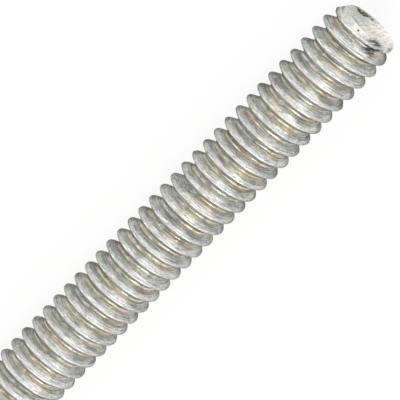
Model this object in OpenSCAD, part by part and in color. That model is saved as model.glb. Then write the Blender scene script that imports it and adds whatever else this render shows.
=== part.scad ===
// Zinc-plated threaded rod, 1/4-20 thread rolled along its whole length, sheared at both ends.
// One solid. It lies along X, with its lowest thread crests at Z = 0 and its middle at X = 0.

/* [Rod] */
// Overall length, 6 in of stock
rod_length = 152.4; // [30:0.1:175]
// Diameter over the thread crests
major_d = 6; // [5.6:0.01:6.35]
// Diameter of the flat sheared face at each end
end_face_d = 4.96; // [4.8:0.01:5.4]
// Length of the bevel from each end face out to the full crests
bevel_length = 1.5; // [0.6:0.1:3]
// Colour of the zinc plating
zinc_colour = "silver"; // ["silver", "lightgray", "gainsboro"]

/* [Thread] */
// Distance from one crest to the next, 20 to the inch
pitch = 1.27; // [1.15:0.01:1.6]
// Depth from crest to root
thread_depth = 0.67; // [0.5:0.01:0.72]
// Width of the narrow land left along the crest
crest_width = 0.16; // [0.12:0.01:0.3]
// Angle between the two flanks of a groove, in degrees
flank_angle = 60; // [50:1:65]
// Direction in which the crest meets the end at +X, in degrees from +Y towards +Z
end_crest_angle = 150; // [0:15:345]
// Straight steps in one turn of the thread
steps_per_turn = 12; // [8:1:14]

/* [Hidden] */

major_r = major_d / 2;
end_face_r = end_face_d / 2;

// The flanks meet in a sharp ridge outside the crest, and the round blank trims it to the crest
ridge_r = major_r + crest_width / 2 / tan(flank_angle / 2);
root_r = major_r - thread_depth;
flank_run = (ridge_r - root_r) * tan(flank_angle / 2);

// One groove along the axis, as [place from the ridge before it, radius]
profile = [
    [0, ridge_r],
    [flank_run, root_r],
    [pitch - flank_run, root_r]
];
corners = len(profile);

// Each step is straight, so its ends stand a little proud and its middle a little low
straddle = 1 / sqrt(cos(180 / steps_per_turn));

// The helix runs a turn or more past each end face
spare_turns = 2;
turns = ceil(rod_length / pitch) + 2 * spare_turns;
steps = turns * steps_per_turn;
helix_start = rod_length / 2 - (turns - spare_turns) * pitch;

// Corner c of the profile after s steps of a right-hand helix about the X axis
function thread_corner(s, c) =
    let (
        x = helix_start + pitch * s / steps_per_turn + profile[c][0],
        r = profile[c][1] * straddle,
        turned = 360 * s / steps_per_turn + end_crest_angle
    )
    [x, r * cos(turned), r * sin(turned)];

// Its place in the list of points. After the last corner comes the ridge of the next turn
function corner_index(s, c) = (c < corners) ? s * corners + c : (s + steps_per_turn) * corners;

// Triangles from each side of a closed rim to a hub
function fan(rim, hub) = [
    for (i = [0 : len(rim) - 1]) [hub, rim[i], rim[(i + 1) % len(rim)]]
];

function flipped(faces) = [for (f = faces) [f[0], f[2], f[1]]];

module thread_helix() {
    last_turn = steps - steps_per_turn;
    start_hub = (steps + 1) * corners;
    end_hub = start_hub + 1;
    hub_at_start = [helix_start + pitch / 2, 0, 0];
    points = concat(
        [for (s = [0 : steps], c = [0 : corners - 1]) thread_corner(s, c)],
        [hub_at_start, hub_at_start + [last_turn / steps_per_turn * pitch + pitch, 0, 0]]
    );
    sides = [
        for (s = [0 : steps - 1], c = [0 : corners - 1])
            if (c < corners - 1 || s < last_turn)
                let (
                    a = corner_index(s, c),
                    b = corner_index(s, c + 1),
                    next_a = corner_index(s + 1, c),
                    next_b = corner_index(s + 1, c + 1)
                )
                each [[a, b, next_b], [a, next_b, next_a]]
    ];
    start_rim = concat(
        [for (s = [0 : steps_per_turn]) corner_index(s, 0)],
        [for (c = [corners - 1 : -1 : 1]) corner_index(0, c)]
    );
    end_rim = concat(
        [for (s = [last_turn : steps]) corner_index(s, corners - 1)],
        [for (c = [corners - 2 : -1 : 0]) corner_index(steps, c)]
    );
    polyhedron(points, concat(
        sides,
        fan(start_rim, start_hub),
        flipped(fan(end_rim, end_hub))
    ));
}

// The round bar with its bevelled ends, before the thread
module blank() {
    half = rod_length / 2;
    rotate([0, 90, 0])
        rotate_extrude($fn = 96)
            polygon([
                [0, -half],
                [end_face_r, -half],
                [major_r, bevel_length - half],
                [major_r, half - bevel_length],
                [end_face_r, half],
                [0, half]
            ]);
}

module rod() {
    color(zinc_colour)
        translate([0, 0, major_r])
            intersection() {
                blank();
                thread_helix();
            }
}

rod();
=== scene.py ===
"""Looks for the zinc-plated threaded rod: the rolled thread in full detail, its sheared ends,
the plating, and a plain studio seen from above the rod's right-hand end."""

import math

import bmesh
import bpy
import numpy as np
from mathutils import Matrix, Vector


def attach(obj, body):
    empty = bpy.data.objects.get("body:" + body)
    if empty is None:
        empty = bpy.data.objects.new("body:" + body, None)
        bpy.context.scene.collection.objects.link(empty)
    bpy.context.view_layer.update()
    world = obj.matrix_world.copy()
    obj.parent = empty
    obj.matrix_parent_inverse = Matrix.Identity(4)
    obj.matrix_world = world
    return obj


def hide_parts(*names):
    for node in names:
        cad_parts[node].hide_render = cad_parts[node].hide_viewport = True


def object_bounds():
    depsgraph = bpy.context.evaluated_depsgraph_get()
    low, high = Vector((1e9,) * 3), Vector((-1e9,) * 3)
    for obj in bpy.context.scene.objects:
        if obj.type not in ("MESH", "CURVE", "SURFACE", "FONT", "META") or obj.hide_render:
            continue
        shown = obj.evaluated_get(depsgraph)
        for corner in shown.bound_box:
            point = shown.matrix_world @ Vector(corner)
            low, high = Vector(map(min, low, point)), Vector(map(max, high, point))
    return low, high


MM = 0.001

# Thread, in millimetres. The pitch is the CAD model's. The crest meets the right-hand end in this
# direction, from +Y towards +Z, 18 degrees further round than in the CAD model, and the grooves are
# 0.07 mm deeper. FLANK is a flank's slope from the plane square to the axis.
PITCH = 1.27
END_CREST_ANGLE = math.radians(168)
FLANK = math.radians(30)
CREST_ROUND = 0.16
ROOT_ROUND = 0.20

# Ends, in millimetres: the sheared face, which stands a little proud of the nominal end, and its rim
FACE_RISE = 0.10
DOME = 0.03
RIM_R = 2.57
RIM_ROUND = 0.10
RIM_DEPTH = 0.07

# Cone from the rim out to the full crests, and the facet that the shear pressed into one side of it
CONE_LENGTH = 2.0
CONE_CURVE = 1.1
FACET_DEPTH = 0.45
FACET_LENGTH = 0.95
FACET_DIRECTION = math.radians(-10)
EDGE_BLEND = 0.05

# Torn hollows in the right-hand face: place from the axis along Y and Z, reach and depth
HOLLOWS = [
    (1.30, -1.00, 0.44, 0.05),
    (0.92, -0.95, 0.30, 0.04),
    (0.74, -1.40, 0.34, 0.04),
    (0.44, -1.75, 0.20, 0.03),
]

# Waves in the rolled surface: radians per millimetre along the rod, waves round it, and phase
WAVES = [(2.1, 3, 0.4), (3.7, -5, 1.9), (6.3, 8, 0.7), (4.9, -11, 2.6), (9.1, 14, 4.0)]
WAVE_HEIGHT = 0.004

# Mesh density
STEPS_PER_TURN = 60
SPARE_TURNS = 2
RIM_RINGS = 3
FACE_RINGS = 22

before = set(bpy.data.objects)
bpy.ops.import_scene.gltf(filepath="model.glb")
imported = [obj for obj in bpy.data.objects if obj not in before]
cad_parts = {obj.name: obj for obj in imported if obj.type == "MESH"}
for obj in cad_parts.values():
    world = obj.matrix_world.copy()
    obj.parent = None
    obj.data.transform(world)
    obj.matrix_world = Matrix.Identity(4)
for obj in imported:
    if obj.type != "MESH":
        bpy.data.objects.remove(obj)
cad_low, cad_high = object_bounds()

MAJOR_R = (cad_high.z - cad_low.z) / 2 / MM
HALF_LENGTH = (cad_high.x - cad_low.x) / 2 / MM
AXIS_Z = (cad_high.z + cad_low.z) / 2 / MM
END_X = HALF_LENGTH + FACE_RISE


# ---------------------------------------------------------------- thread


def middle(a, b):
    return ((a[0] + b[0]) / 2, (a[1] + b[1]) / 2)


def thread_profile():
    """Across one pitch, from the middle of one root to the next: place from the crest, drop below it."""
    crest_arc = [math.radians(a) for a in (-60, -30, 0, 30, 60)]
    root_arc = [math.radians(a) for a in (0, 30, 60)]
    depth = PITCH / 2 / math.tan(FLANK) - CREST_ROUND - ROOT_ROUND
    root = [(ROOT_ROUND * math.sin(a), depth - ROOT_ROUND * (1 - math.cos(a))) for a in root_arc]
    crest = [(CREST_ROUND * math.sin(a), CREST_ROUND * (1 - math.cos(a))) for a in crest_arc]
    left = [(x - PITCH / 2, drop) for x, drop in root]
    right = [(PITCH / 2 - x, drop) for x, drop in reversed(root[1:])]
    points = left + [middle(left[-1], crest[0])] + crest + [middle(crest[-1], right[0])] + right
    return np.array(points)


def end_radius(x, direction):
    """Radius of the bar before the thread: the cone near each end, and the facet in one side of it."""
    from_end = END_X - np.abs(x)
    inward = np.clip(from_end / CONE_LENGTH, 0, 1)
    full = MAJOR_R + EDGE_BLEND
    cone = full - (full - RIM_R) * (1 - inward) ** CONE_CURVE
    facing = np.clip(np.cos(direction - FACET_DIRECTION), 0, 1) ** 2
    pressed = np.clip(1 - from_end / FACET_LENGTH, 0, 1)
    return cone - FACET_DEPTH * facing * pressed


def soft_min(a, b):
    """The smaller of two radii, with the edge between them rounded."""
    near = np.clip(0.5 + 0.5 * (b - a) / EDGE_BLEND, 0, 1)
    return b * (1 - near) + a * near - EDGE_BLEND * near * (1 - near)


def waviness(x, direction):
    """Slight unevenness of the rolled surface."""
    waves = [np.sin(along * x + around * direction + phase) for along, around, phase in WAVES]
    return WAVE_HEIGHT * sum(waves)


def thread_points(profile, turns):
    """One row of points across the strand for each step of the helix, in metres."""
    start = HALF_LENGTH - (turns - SPARE_TURNS) * PITCH
    step = np.arange(turns * STEPS_PER_TURN + 1)[:, None]
    x = start + PITCH * step / STEPS_PER_TURN + profile[None, :, 0]
    turned = 2 * math.pi * step / STEPS_PER_TURN + END_CREST_ANGLE
    r = soft_min(MAJOR_R - profile[None, :, 1], end_radius(x, turned)) + waviness(x, turned)
    points = np.stack([x, r * np.cos(turned), AXIS_Z + r * np.sin(turned)], axis=-1)
    return points.reshape(-1, 3) * MM


def thread_mesh():
    """The helical surface, a little longer than the rod, with its UV map along and across the strand."""
    profile = thread_profile()
    corners = len(profile)
    turns = math.ceil(2 * HALF_LENGTH / PITCH) + 2 * SPARE_TURNS
    steps = turns * STEPS_PER_TURN

    # the last corner of each row joins the first corner of the row one turn on
    step, corner = np.meshgrid(np.arange(steps), np.arange(corners), indexing="ij")
    wraps = corner == corners - 1
    kept = ~(wraps & (step >= steps - STEPS_PER_TURN))
    step, corner, wraps = step[kept], corner[kept], wraps[kept]
    here = step * corners + corner
    beside = np.where(wraps, (step + STEPS_PER_TURN) * corners, here + 1)
    quads = np.stack([here, here + corners, beside + corners, beside], axis=-1)
    mesh = bpy.data.meshes.new("rod")
    mesh.from_pydata(thread_points(profile, turns).tolist(), [], quads.tolist())

    # the profile is symmetrical, so the edge that wraps is as wide as the first one
    across = np.concatenate([[0], np.cumsum(np.hypot(*np.diff(profile, axis=0).T))])
    width = across[-1] + across[1]
    near_edge, far_edge = across[corner], np.where(wraps, width, across[(corner + 1) % corners])
    forward = 2 * math.pi * MAJOR_R / STEPS_PER_TURN
    along = step * forward
    u = np.stack([along, along + forward, along + forward, along], axis=-1)
    v = np.stack([near_edge, near_edge, far_edge, far_edge], axis=-1)
    strand = mesh.uv_layers.new(name="strand")
    strand.data.foreach_set("uv", np.stack([u, v], axis=-1).ravel().astype(np.float32))
    return mesh


# ---------------------------------------------------------------- ends


def face_height(side, y, z):
    """How far the sheared face stands out at a place on it: slightly domed, and torn at the right end."""
    height = DOME * (1 - (y * y + z * z) / RIM_R**2)
    if side > 0:
        for hollow_y, hollow_z, reach, depth in HOLLOWS:
            away = math.hypot(y - hollow_y, z - hollow_z) / reach
            height -= depth * math.exp(-away * away)
    return height


def end_rings(side, spokes):
    """Rings of places in millimetres from the cut inwards: over the rounded rim, then across the face."""
    centre = Vector((side * END_X, 0, AXIS_Z))
    rings = []
    for n in range(1, RIM_RINGS + 1):
        turned = math.pi / 2 * n / RIM_RINGS
        inside, below = RIM_ROUND * (1 - math.cos(turned)), RIM_DEPTH * (1 - math.sin(turned))
        rings.append([centre - Vector((side * below, 0, 0)) + p * (1 - inside / p.length) for p in spokes])
    edge = [p * (1 - RIM_ROUND / p.length) for p in spokes]
    for n in range(1, FACE_RINGS):
        on_face = [p * (1 - n / FACE_RINGS) for p in edge]
        rings.append([centre + p + Vector((side * face_height(side, p.y, p.z), 0, 0)) for p in on_face])
    return rings


def close_end(bm, side):
    """Cuts the rod square just inside one end and closes it with the rounded rim and the sheared face."""
    cut = bmesh.ops.bisect_plane(
        bm,
        geom=bm.verts[:] + bm.edges[:] + bm.faces[:],
        plane_co=(side * (END_X - RIM_DEPTH) * MM, 0, 0),
        plane_no=(side, 0, 0),
        clear_outer=True,
    )
    ring = [g for g in cut["geom_cut"] if isinstance(g, bmesh.types.BMVert)]
    ring.sort(key=lambda v: math.atan2(v.co.z - AXIS_Z * MM, v.co.y) * side)
    spokes = [Vector((0, v.co.y / MM, v.co.z / MM - AXIS_Z)) for v in ring]

    for n, places in enumerate(end_rings(side, spokes)):
        inner = [bm.verts.new(p * MM) for p in places]
        for i, v in enumerate(ring):
            j = (i + 1) % len(ring)
            bm.faces.new((v, ring[j], inner[j], inner[i])).material_index = int(n >= RIM_RINGS)
        ring = inner
    hub_x = side * (END_X + face_height(side, 0, 0))
    hub = bm.verts.new(Vector((hub_x, 0, AXIS_Z)) * MM)
    for i, v in enumerate(ring):
        bm.faces.new((v, ring[(i + 1) % len(ring)], hub)).material_index = 1


def make_rod():
    mesh = thread_mesh()
    bm = bmesh.new()
    bm.from_mesh(mesh)
    for side in (1, -1):
        close_end(bm, side)
    bm.normal_update()
    bm.to_mesh(mesh)
    bm.free()
    mesh.shade_smooth()
    rod = bpy.data.objects.new("threaded_rod", mesh)
    bpy.context.scene.collection.objects.link(rod)
    return rod


# ---------------------------------------------------------------- shader nodes


class Graph:
    """Shader nodes of one material. Every call takes numbers, colours or sockets and returns a socket."""

    def __init__(self, name):
        self.material = bpy.data.materials.new(name)
        self.material.use_nodes = True
        self.tree = self.material.node_tree
        self.shader = self.tree.nodes["Principled BSDF"]

    def put(self, socket, value):
        if isinstance(value, bpy.types.NodeSocket):
            self.tree.links.new(value, socket)
        else:
            socket.default_value = value

    def add(self, kind, inputs, **settings):
        node = self.tree.nodes.new("ShaderNode" + kind)
        for key, value in settings.items():
            setattr(node, key, value)
        for key, value in inputs.items():
            self.put(node.inputs[key], value)
        return node

    def millimetres(self):
        """Place on the rod in millimetres, with the rod's axis as the X axis."""
        place = self.add("TexCoord", {}).outputs["Object"]
        low = self.add("VectorMath", {0: place, 1: (0, 0, AXIS_Z * MM)}, operation="SUBTRACT").outputs[0]
        return self.add("VectorMath", {0: low, "Scale": 1 / MM}, operation="SCALE").outputs[0]

    def stretched(self, vector, scale):
        return self.add("VectorMath", {0: vector, 1: scale}, operation="MULTIPLY").outputs[0]

    def parts(self, vector):
        return self.add("SeparateXYZ", {0: vector}).outputs

    def joined(self, x, y, z):
        return self.add("CombineXYZ", {0: x, 1: y, 2: z}).outputs[0]

    def noise(self, vector, scale, detail=3.0, roughness=0.55):
        inputs = {"Vector": vector, "Scale": scale, "Detail": detail, "Roughness": roughness}
        return self.add("TexNoise", inputs).outputs["Fac"]

    def math(self, operation, a, b=0.0):
        return self.add("Math", {0: a, 1: b}, operation=operation).outputs[0]

    def plus(self, a, b):
        return self.math("ADD", a, b)

    def minus(self, a, b):
        return self.math("SUBTRACT", a, b)

    def times(self, a, b):
        return self.math("MULTIPLY", a, b)

    def larger(self, a, b):
        return self.math("MAXIMUM", a, b)

    def between(self, value, low, high, out_low=0.0, out_high=1.0):
        """Smooth step of a value from low to high, given back from out_low to out_high."""
        inputs = {"Value": value, "From Min": low, "From Max": high, "To Min": out_low, "To Max": out_high}
        return self.add("MapRange", inputs, interpolation_type="SMOOTHSTEP").outputs[0]

    def mix(self, share, a, b):
        return self.add("Mix", {0: share, 6: a, 7: b}, data_type="RGBA").outputs[2]

    def near(self, vector, place, reach, soft, ragged=0.0):
        """1 within reach of a place in millimetres, down to 0 over the soft distance, with a ragged edge."""
        away = self.add("VectorMath", {0: vector, 1: place}, operation="DISTANCE").outputs["Value"]
        torn = self.times(self.minus(self.noise(vector, 5.0), 0.5), ragged)
        return self.between(self.plus(away, torn), reach, reach + soft, 1.0, 0.0)

    def bump(self, height, depth, below=None):
        """Relief of the given depth in millimetres, on top of another bump."""
        inputs = {"Height": height, "Distance": depth * MM, "Strength": 1.0}
        if below is not None:
            inputs["Normal"] = below
        return self.add("Bump", inputs).outputs["Normal"]


# ---------------------------------------------------------------- plating

# Colours of the clouded zinc and its streaks
ZINC_DARK = (0.47, 0.51, 0.53, 1)
ZINC_PALE = (0.82, 0.83, 0.80, 1)
MOTTLE_DARK = (0.33, 0.36, 0.36, 1)
STREAK_DARK = (0.25, 0.26, 0.26, 1)
STREAK_PALE = (0.84, 0.84, 0.79, 1)
PATCH_DARK = (0.18, 0.21, 0.24, 1)
SCRATCH_DARK = (0.19, 0.20, 0.19, 1)
SPECK_DARK = (0.13, 0.13, 0.12, 1)

# Colours of the film, of the fine lines in the root, which are painted shade and painted highlights, and of
# the rubbed crest
FILM_GREEN = (0.52, 0.57, 0.46, 1)
FILM_STRAW = (0.74, 0.68, 0.48, 1)
FILM_COPPER = (0.76, 0.55, 0.42, 1)
ROOT_PAINTED_SHADE = (0.20, 0.19, 0.15, 1)
ROOT_PAINTED_HIGHLIGHT = (0.90, 0.84, 0.68, 1)
RUBBED_DULL = (0.48, 0.49, 0.47, 1)
RUBBED_BRIGHT = (0.70, 0.70, 0.66, 1)

# Colours of the bevel, of the painted highlight on it, and of the marks on it
BEVEL_DULL = (0.45, 0.46, 0.44, 1)
BEVEL_PALE = (0.68, 0.67, 0.64, 1)
BEVEL_PAINTED_HIGHLIGHT = (0.80, 0.79, 0.74, 1)
SCORE_VEIL = (0.28, 0.29, 0.29, 1)
SCORE_DARK = (0.09, 0.09, 0.09, 1)
END_PATCH_DARK = (0.16, 0.16, 0.16, 1)
PIT_DARK = (0.03, 0.03, 0.03, 1)

# Radii between which the film and the painted shade and highlight lines fade outwards, and the rubbed crest
# and the bevel begin
FILM_FADES = (2.34, 2.68)
LINES_FADE = (2.40, 2.74)
RUBBED_BEGINS = (2.88, 2.97)
BEVEL_BEGINS = (2.40, 2.52)

# Marks at the right-hand end, with the places of the painted shade at the rim and of the painted highlight
# on the bevel, in millimetres from the middle of the rod's axis
PIT = (END_X - 0.22, 0.30, 2.60)
EDGE_SHADE = (END_X, 1.10, 2.15)
# place of the painted highlight on the top of the bevel
BEVEL_HIGHLIGHT_PLACE = (END_X - 0.30, 0.45, 2.50)
SCORES = (END_X - 0.42, -1.45, 2.12)
TICKS = (END_X, -0.10, -1.20)
# places where the colour is darkened in dark grey patches, all on the -Y side of the end
END_DARK_PATCHES = [
    (END_X - 0.95, -1.75, 1.85),
    (END_X - 1.60, -1.70, 2.20),
    (END_X - 0.12, -2.42, 0.80),
    (END_X - 0.20, -2.50, 0.55),
]


class RolledSurface:
    """Places on the rod and the noises that several layers of the plating share."""

    def __init__(self, g):
        self.place = g.millimetres()
        self.strand = g.add("UVMap", {}, uv_map="strand").outputs["UV"]
        self.x, self.y, self.z = g.parts(self.place)
        self.radius = g.math("SQRT", g.plus(g.times(self.y, self.y), g.times(self.z, self.z)))
        self.streaks = g.noise(g.stretched(self.strand, (0.40, 6.0, 0)), 1.0, 5.0, 0.75)
        self.fine_streaks = g.noise(g.stretched(self.strand, (1.6, 13, 0)), 1.0, 3.0, 0.65)
        self.bands = g.noise(g.stretched(self.strand, (0.24, 1.1, 0)), 1.0, 3.0, 0.6)
        self.lines = g.noise(g.stretched(self.strand, (0.10, 13, 0)), 1.0, 2.0)
        self.clouds = g.noise(self.place, 0.9, 3.0, 0.6)
        self.mottle = g.noise(self.place, 3.6, 3.0, 0.65)
        self.grain = g.noise(self.place, 11.0, 2.0, 0.7)


def clouded_zinc(g, on):
    """Clouded greys, bluer where they are dark, with darker and lighter streaks along the strand."""
    tone = g.plus(g.times(on.clouds, 0.5), g.times(on.bands, 0.5))
    colour = g.mix(g.between(tone, 0.40, 0.60), ZINC_DARK, ZINC_PALE)
    colour = g.mix(g.between(on.mottle, 0.34, 0.52, 0.8, 0.0), colour, MOTTLE_DARK)
    colour = g.mix(g.between(on.streaks, 0.36, 0.54, 0.85, 0.0), colour, STREAK_DARK)
    return g.mix(g.between(on.fine_streaks, 0.46, 0.62, 0.0, 0.85), colour, STREAK_PALE)


def root_film(g, on, colour):
    """Film from green through straw to copper, deepest in the root and on the flank beside it."""
    depth = g.between(on.radius, *FILM_FADES, 1.0, 0.10)
    film = g.noise(g.stretched(on.strand, (0.26, 0.8, 0)), 1.0, 3.0, 0.6)
    hue = g.noise(g.stretched(on.strand, (0.22, 1.6, 0)), 1.3, 2.0)
    tint = g.mix(g.between(hue, 0.38, 0.46), FILM_GREEN, FILM_STRAW)
    tint = g.mix(g.between(hue, 0.50, 0.58), tint, FILM_COPPER)
    return g.mix(g.times(depth, g.between(film, 0.40, 0.58, 0.06, 0.80)), colour, tint)


def long_patches(g, on, colour):
    """Long dark and pale patches along the strand, over the film too."""
    colour = g.mix(g.between(on.bands, 0.34, 0.50, 0.34, 0.0), colour, PATCH_DARK)
    colour = g.mix(g.between(on.bands, 0.54, 0.68, 0.0, 0.25), colour, ZINC_PALE)
    return g.mix(g.between(on.streaks, 0.36, 0.50, 0.60, 0.0), colour, SCRATCH_DARK)


def root_shade_and_highlight_lines(g, on, colour):
    """Fine lines that run far along the root: painted shade in the dark ones and painted highlights in the
    golden ones.
    """
    in_root = g.between(on.radius, *LINES_FADE, 1.0, 0.0)
    # painted shade: dark lines in the root groove
    dark = g.times(in_root, g.between(on.lines, 0.38, 0.48, 0.65, 0.0))
    colour = g.mix(dark, colour, ROOT_PAINTED_SHADE)
    # painted highlight: golden lines in the root groove
    golden = g.times(in_root, g.between(on.lines, 0.54, 0.62, 0.0, 0.6))
    return g.mix(golden, colour, ROOT_PAINTED_HIGHLIGHT)


def rubbed_crest(g, on, colour):
    """Bare bright line where the crest is rubbed, and dark specks."""
    rubbed = g.times(g.between(on.radius, *RUBBED_BEGINS), g.between(on.mottle, 0.35, 0.6, 0.2, 1.0))
    bare = g.mix(g.between(on.fine_streaks, 0.4, 0.6), RUBBED_DULL, RUBBED_BRIGHT)
    colour = g.mix(rubbed, colour, bare)
    specks = g.between(g.noise(on.place, 6.0, 2.0), 0.27, 0.35, 0.8, 0.0)
    return g.mix(specks, colour, SPECK_DARK)


def pressed_share(g, on):
    """1 on the bevel that the shear pressed over, at both ends, and 0 on the thread."""
    inside = g.minus(END_X, g.math("ABSOLUTE", on.x))
    on_cone = g.times(g.between(inside, 0.50, 0.70, 1.0, 0.0), g.between(on.radius, *BEVEL_BEGINS))
    return g.larger(on_cone, g.between(inside, 0.20, 0.35, 1.0, 0.0))


def pressed_bevel(g, on, colour, pressed):
    """Pale matt bevel, with a painted highlight on the top of it beside the pit."""
    pale = g.mix(g.between(on.mottle, 0.35, 0.60), BEVEL_DULL, BEVEL_PALE)
    clean = g.between(on.mottle, 0.34, 0.54, 0.2, 1.0)
    # painted highlight: a bright cream patch on the top of the bevel
    bright = g.times(g.near(on.place, BEVEL_HIGHLIGHT_PLACE, 0.20, 0.80, 1.0), clean)
    pale = g.mix(bright, pale, BEVEL_PAINTED_HIGHLIGHT)
    return g.mix(g.times(pressed, 0.95), colour, pale)


def end_marks(g, on, colour):
    """Dark scores, dark grey patches on the -Y side and one pit on the bevel and the last turn at the
    right-hand end.
    """
    veil = g.times(g.near(on.place, SCORES, 0.35, 0.75, 0.9), 0.6)
    colour = g.mix(veil, colour, SCORE_VEIL)
    leaning = g.joined(g.plus(g.times(on.x, 5.0), g.times(on.y, 2.5)), on.y, on.z)
    strokes = g.noise(leaning, 1.0, 3.0, 0.6)
    scored = g.times(g.near(on.place, SCORES, 0.55, 0.45, 0.8), g.between(strokes, 0.43, 0.52))
    colour = g.mix(scored, colour, SCORE_DARK)
    # darkens the colour in dark grey patches on the -Y side of the end
    for patch_place in END_DARK_PATCHES:
        patchy = g.between(strokes, 0.35, 0.55, 0.15, 0.48)
        patched = g.times(g.near(on.place, patch_place, 0.10, 0.38, 0.8), patchy)
        colour = g.mix(patched, colour, END_PATCH_DARK)
    return g.mix(g.near(on.place, PIT, 0.05, 0.06, 0.05), colour, PIT_DARK)


def rolled_relief(g, on):
    relief = g.bump(on.streaks, 0.012)
    relief = g.bump(on.fine_streaks, 0.004, relief)
    relief = g.bump(on.lines, 0.008, relief)
    relief = g.bump(on.mottle, 0.022, relief)
    return g.bump(on.grain, 0.010, relief)


def zinc_material():
    """Dull bright-zinc plating, drawn into fine streaks along the strand, and the pressed bevels."""
    g = Graph("zinc_plating")
    on = RolledSurface(g)
    pressed = pressed_share(g, on)
    colour = clouded_zinc(g, on)
    colour = root_film(g, on, colour)
    colour = long_patches(g, on, colour)
    colour = root_shade_and_highlight_lines(g, on, colour)
    colour = rubbed_crest(g, on, colour)
    colour = pressed_bevel(g, on, colour, pressed)
    colour = end_marks(g, on, colour)

    g.put(g.shader.inputs["Base Color"], colour)
    g.put(g.shader.inputs["Metallic"], g.minus(1.0, g.times(pressed, 0.5)))
    g.shader.inputs["Specular Tint"].default_value = (0.2, 0.2, 0.2, 1)
    rough = g.plus(g.between(on.clouds, 0.35, 0.65, 0.37, 0.30), g.between(on.grain, 0.35, 0.65, 0.08, 0.0))
    g.put(g.shader.inputs["Roughness"], g.larger(rough, g.times(pressed, 0.5)))
    g.shader.inputs["Anisotropic"].default_value = 0.7
    g.shader.inputs["Anisotropic Rotation"].default_value = 0.25
    g.put(g.shader.inputs["Tangent"], g.add("Tangent", {}, direction_type="RADIAL", axis="X").outputs[0])
    g.put(g.shader.inputs["Normal"], rolled_relief(g, on))
    return g.material


# ---------------------------------------------------------------- sheared faces

# The drag lines lean by this angle from the Z axis
DRAG_LEAN = math.radians(14)

FACE_CREAM_LOW = (0.86, 0.82, 0.74, 1)
FACE_CREAM_HIGH = (0.62, 0.60, 0.54, 1)
FACE_GREY = (0.41, 0.44, 0.41, 1)
DRAG_DARK = (0.36, 0.34, 0.30, 1)
DRAG_PALE = (0.84, 0.82, 0.76, 1)
GRAIN_DARK = (0.38, 0.38, 0.35, 1)
EDGE_SHADE_DARK = (0.30, 0.30, 0.32, 1)
FACE_SCORE_DARK = (0.20, 0.20, 0.19, 1)
TICK_DARK = (0.16, 0.14, 0.12, 1)
RUST = (0.32, 0.27, 0.20, 1)
TORN_DARK = (0.035, 0.03, 0.02, 1)

# Share of a hollow's reach that is torn dark inside its rusty edge
TORN_SHARE = 0.55


def torn_patch(g, place, drag, colour):
    """The torn hollows, dark brown inside a rusty edge. Returns the colour and the share that is torn."""
    in_strokes = g.between(drag, 0.46, 0.60, 1.0, 0.3)
    torn = 0.0
    for y, z, reach, _ in HOLLOWS:
        halo = g.times(in_strokes, g.near(place, (END_X, y, z), reach, 0.40, 1.4))
        colour = g.mix(halo, colour, RUST)
        torn = g.larger(torn, g.near(place, (END_X, y, z), reach * TORN_SHARE, 0.30, 1.7))
    torn = g.times(torn, g.between(drag, 0.52, 0.62, 1.0, 0.45))
    return g.mix(torn, colour, TORN_DARK), torn


def sheared_material():
    """Rough pale face of a sheared bar, with drag lines across it and the torn hollows of the right one."""
    g = Graph("sheared_end")
    place = g.millimetres()
    x, y, z = g.parts(place)
    lean_y, lean_z = math.cos(DRAG_LEAN), math.sin(DRAG_LEAN)
    across = g.minus(g.times(y, lean_y), g.times(z, lean_z))
    down = g.plus(g.times(y, lean_z), g.times(z, lean_y))
    drag = g.noise(g.stretched(g.joined(x, across, down), (0.5, 5.0, 0.9)), 1.0, 4.0, 0.65)
    clouds = g.noise(place, 0.8, 3.0, 0.6)
    grain = g.noise(place, 6.0, 3.0, 0.65)

    # cream on one half and greenish grey on the other, with paler and darker drag lines
    grey_half = g.between(g.plus(across, g.times(clouds, 2.0)), 0.6, 1.7)
    cream = g.mix(g.between(z, -1.6, 1.6), FACE_CREAM_LOW, FACE_CREAM_HIGH)
    colour = g.mix(grey_half, cream, FACE_GREY)
    colour = g.mix(g.between(drag, 0.34, 0.52, 0.7, 0.0), colour, DRAG_DARK)
    colour = g.mix(g.between(drag, 0.52, 0.66, 0.0, 0.5), colour, DRAG_PALE)
    colour = g.mix(g.between(grain, 0.34, 0.50, 0.5, 0.0), colour, GRAIN_DARK)

    # shade at the upper rim, scores and short ticks, on the right-hand face alone
    colour = g.mix(g.near(place, EDGE_SHADE, 0.30, 0.60, 0.5), colour, EDGE_SHADE_DARK)
    scored = g.times(g.near(place, SCORES, 0.35, 0.60, 0.6), g.between(drag, 0.40, 0.58, 0.85, 0.3))
    colour = g.mix(scored, colour, FACE_SCORE_DARK)
    ticks = g.times(g.near(place, TICKS, 0.30, 0.50, 0.8), g.between(drag, 0.42, 0.50, 0.9, 0.0))
    colour = g.mix(ticks, colour, TICK_DARK)
    colour, torn = torn_patch(g, place, drag, colour)
    bare = g.minus(1.0, torn)

    g.put(g.shader.inputs["Base Color"], colour)
    g.put(g.shader.inputs["Metallic"], g.times(bare, 0.4))
    g.put(g.shader.inputs["Specular IOR Level"], g.times(bare, 0.5))
    g.put(g.shader.inputs["Roughness"], g.between(drag, 0.35, 0.65, 0.62, 0.45))
    g.put(g.shader.inputs["Normal"], g.bump(grain, 0.02, g.bump(drag, 0.05)))
    return g.material


# ---------------------------------------------------------------- studio

# Camera: how far it stands from straight above, towards the right-hand end, how far it is rolled, its
# distance in millimetres, its focal length in picture widths, how far in from the right-hand end it
# aims, in millimetres, and its sensor's width, in millimetres
TILT = math.radians(17.5)
ROLL = math.radians(46.0)
DISTANCE = 433.5
FOCAL_IN_WIDTHS = 13.875
AIM_FROM_END = 19.58
SENSOR = 36


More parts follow.
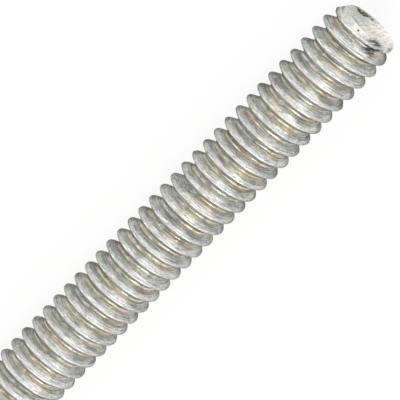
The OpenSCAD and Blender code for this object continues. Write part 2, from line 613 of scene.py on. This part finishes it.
def make_camera():
    """Looks down on the right-hand end with a long lens, rolled so that the rod runs up to the right."""
    back = Vector((math.sin(TILT), 0, math.cos(TILT)))
    along = Vector((math.cos(TILT), 0, -math.sin(TILT)))
    across = Vector((0, 1, 0))
    right = along * math.cos(ROLL) - across * math.sin(ROLL)
    up = along * math.sin(ROLL) + across * math.cos(ROLL)
    aim = Vector((HALF_LENGTH - AIM_FROM_END, 0, AXIS_Z))
    data = bpy.data.cameras.new("camera")
    data.sensor_width = SENSOR
    data.lens = FOCAL_IN_WIDTHS * SENSOR
    data.clip_start, data.clip_end = 0.01, 10
    camera = bpy.data.objects.new("camera", data)
    bpy.context.scene.collection.objects.link(camera)
    place = Matrix((right, up, back)).transposed().to_4x4()
    place.translation = (aim + back * DISTANCE) * MM
    camera.matrix_world = place
    bpy.context.scene.camera = camera


# Tints of the lamps: plain daylight, the warm side of the room and the cooler window side
PLAIN = (1.02, 1.0, 0.97)
WARM = (1.10, 1.0, 0.88)
COOL = (1.0, 1.0, 1.05)

# Every soft box stands this far from the right-hand end, in metres
LAMP_DISTANCE = 1.0

# Soft boxes round the right-hand end: direction from +X towards +Y and height above the floor in
# degrees, width and height in metres, power in watts and tint
SOFT_BOXES = {
    "far_low": (212, 6, 1.2, 0.2, 2.5, PLAIN),
    "far_back": (165, 20, 0.75, 0.3, 0.75, WARM),
    "far_mid": (180, 42, 0.6, 0.3, 1.75, PLAIN),
    "far_high": (200, 67, 0.5, 0.3, 2.25, PLAIN),
    "back_low": (134, 10, 0.5, 0.35, 2.0, PLAIN),
    "back_high": (138, 44, 0.25, 0.5, 1.5, PLAIN),
    "front_corner": (240, 44, 0.5, 0.5, 4.0, PLAIN),
    "front_mid": (270, 35, 0.35, 0.3, 0.75, PLAIN),
    "front_low": (280, 12, 0.35, 0.3, 0.75, WARM),
    "near_front": (330, 8, 0.3, 0.2, 0.5, COOL),
    "near_low": (348, 20, 0.6, 0.3, 1.75, COOL),
    "near_high": (0, 40, 0.6, 0.4, 2.0, COOL),
    "near_side": (30, 8, 0.3, 0.2, 0.5, COOL),
    "near_back": (45, 36, 0.85, 0.3, 2.75, PLAIN),
    "near_back_low": (60, 12, 0.35, 0.3, 0.5, COOL),
}


def make_soft_box(name, azimuth, height, width, tall, power, tint):
    """A soft light that faces the rod's right-hand end."""
    turn, rise = math.radians(azimuth), math.radians(height)
    target = Vector((HALF_LENGTH - AIM_FROM_END, 0, AXIS_Z)) * MM
    away = Vector((math.cos(turn) * math.cos(rise), math.sin(turn) * math.cos(rise), math.sin(rise)))
    data = bpy.data.lights.new(name, "AREA")
    data.shape = "ELLIPSE"
    data.size, data.size_y = width, tall
    data.energy = power
    data.color = tint
    light = bpy.data.objects.new(name, data)
    light.location = target + away * LAMP_DISTANCE
    light.rotation_euler = (-away).to_track_quat("-Z", "Y").to_euler()
    light.visible_camera = False
    bpy.context.scene.collection.objects.link(light)


# The room's colour by the height of the direction looked in: white up to one height, dim from another
ROOM_WHITE = (1.0, 1.0, 1.0, 1)
ROOM_DIM = (0.20, 0.21, 0.205, 1)
WHITE_UP_TO = 0.06
DIM_FROM = 0.28


def make_world():
    """A dim room with a white band at the horizon."""
    world = bpy.data.worlds.new("studio")
    bpy.context.scene.world = world
    world.use_nodes = True
    tree = world.node_tree
    direction = tree.nodes.new("ShaderNodeTexCoord")
    split = tree.nodes.new("ShaderNodeSeparateXYZ")
    ramp = tree.nodes.new("ShaderNodeValToRGB")
    white, dim = ramp.color_ramp.elements
    white.position, white.color = WHITE_UP_TO, ROOM_WHITE
    dim.position, dim.color = DIM_FROM, ROOM_DIM
    tree.links.new(direction.outputs["Generated"], split.inputs[0])
    tree.links.new(split.outputs["Z"], ramp.inputs["Fac"])
    tree.links.new(ramp.outputs["Color"], tree.nodes["Background"].inputs["Color"])


# Floor: how far it reaches each way in metres, its own colour, and the share of it that shows white by
# itself where it is seen or mirrored. The rest is lit, and carries the rod's faint shadow.
FLOOR_REACH = 3.0
FLOOR_COLOUR = (0.85, 0.85, 0.85, 1)
FLOOR_WHITE = 0.85


def floor_material():
    g = Graph("floor")
    g.shader.inputs["Base Color"].default_value = FLOOR_COLOUR
    g.shader.inputs["Roughness"].default_value = 0.9
    path = g.add("LightPath", {}).outputs
    seen = g.larger(path["Is Camera Ray"], path["Is Glossy Ray"])
    seen = g.larger(seen, path["Is Transmission Ray"])
    white = g.add("Emission", {"Color": (1, 1, 1, 1), "Strength": 1.0}).outputs[0]
    share = g.times(seen, FLOOR_WHITE)
    surface = g.add("MixShader", {0: share, 1: g.shader.outputs[0], 2: white}).outputs[0]
    g.put(g.tree.nodes["Material Output"].inputs["Surface"], surface)
    return g.material


def make_floor():
    reach = FLOOR_REACH
    corners = [(-reach, -reach, 0), (reach, -reach, 0), (reach, reach, 0), (-reach, reach, 0)]
    mesh = bpy.data.meshes.new("floor")
    mesh.from_pydata(corners, [], [(0, 1, 2, 3)])
    mesh.materials.append(floor_material())
    floor = bpy.data.objects.new("floor", mesh)
    floor.location.z = cad_low.z
    bpy.context.scene.collection.objects.link(floor)


# ---------------------------------------------------------------- scene

make_camera()
rod = make_rod()
rod.data.materials.append(zinc_material())
rod.data.materials.append(sheared_material())
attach(rod, "root")
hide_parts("rod")
for name, settings in SOFT_BOXES.items():
    make_soft_box(name, *settings)
make_world()
make_floor()
bpy.context.scene.view_settings.view_transform = "Standard"
